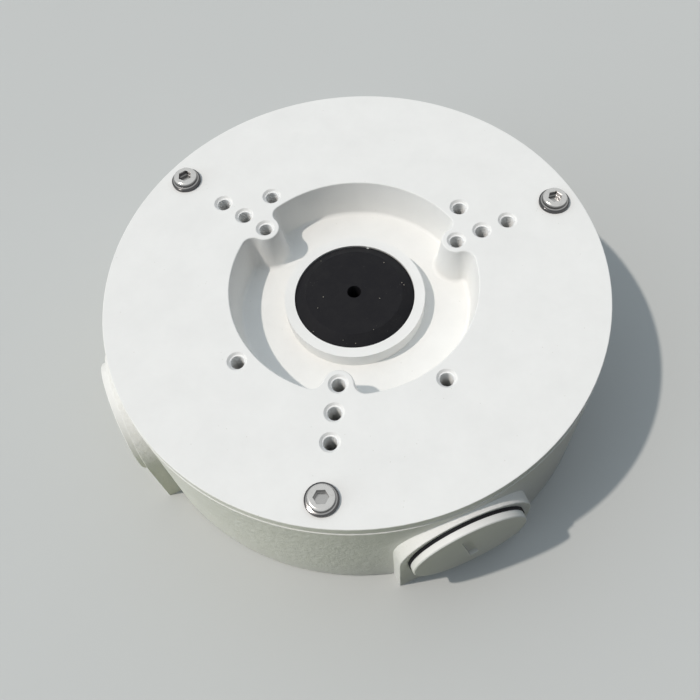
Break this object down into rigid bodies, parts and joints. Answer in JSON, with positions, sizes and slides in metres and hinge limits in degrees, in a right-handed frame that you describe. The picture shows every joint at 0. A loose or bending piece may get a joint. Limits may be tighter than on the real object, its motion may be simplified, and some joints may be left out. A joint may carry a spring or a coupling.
{
  "type": "camera junction box",
  "caption": "Round metal junction box that carries a security camera: screwed cover with a recessed rubber cable grommet, threaded camera holes and plugged conduit entries.",
  "frame": {"origin": "centre of the wall side, on the box's axis", "axes": "+Z along the box's axis from the wall side to the cover; one cover screw and its line of camera holes lie on -Y, the others 30 and 150 degrees from +X; the conduit entries face -60 and -150 degrees"},
  "size_m": [0.1363, 0.137, 0.0464],
  "materials": {
    "housing_paint": "wrinkled powder coat",
    "cover_paint": "fine matt powder coat",
    "seal_rubber": "matt",
    "grommet_rubber": "matt, dusty",
    "screw_steel": "satin",
    "nylon": "satin"
  },
  "bodies": {
    "box": {"base_housing": "housing_paint", "front_cover": "cover_paint", "cover_seal": "seal_rubber", "cable_grommet": "grommet_rubber", "rear_grommet": "grommet_rubber", "cover_screw_1": "screw_steel", "cover_screw_2": "screw_steel", "cover_screw_3": "screw_steel", "screw_retainer_1": "nylon", "screw_retainer_2": "nylon", "screw_retainer_3": "nylon", "earth_washer": "screw_steel", "earth_screw": "screw_steel"},
    "right_plug_travel_body": {"plug_seal_right": "seal_rubber"},
    "right_plug_body": {"conduit_plug_right": "cover_paint"},
    "left_plug_travel_body": {"plug_seal_left": "seal_rubber"},
    "left_plug_body": {"conduit_plug_left": "cover_paint"}
  },
  "joints": [
    {"name": "right_plug_travel", "type": "slide", "parent": "box", "child": "right_plug_travel_body", "axis": [0.5, -0.866, 0], "range_m": [0, 0.00716]},
    {"name": "right_plug_turn", "type": "hinge", "parent": "right_plug_travel_body", "child": "right_plug_body", "pos_m": [0.03435, -0.0595, 0.0218], "axis": [0.5, -0.866, 0], "range_deg": [0, 1420]},
    {"name": "left_plug_travel", "type": "slide", "parent": "box", "child": "left_plug_travel_body", "axis": [-0.866, -0.5, 0], "range_m": [0, 0.00796]},
    {"name": "left_plug_turn", "type": "hinge", "parent": "left_plug_travel_body", "child": "left_plug_body", "pos_m": [-0.0595, -0.03435, 0.0218], "axis": [-0.866, -0.5, 0], "range_deg": [0, 1579]}
  ],
  "couplings": [
    {"joint": "right_plug_travel", "follows": "right_plug_turn", "m_per_rad": 0.00028871},
    {"joint": "left_plug_travel", "follows": "left_plug_turn", "m_per_rad": 0.00028871}
  ]
}
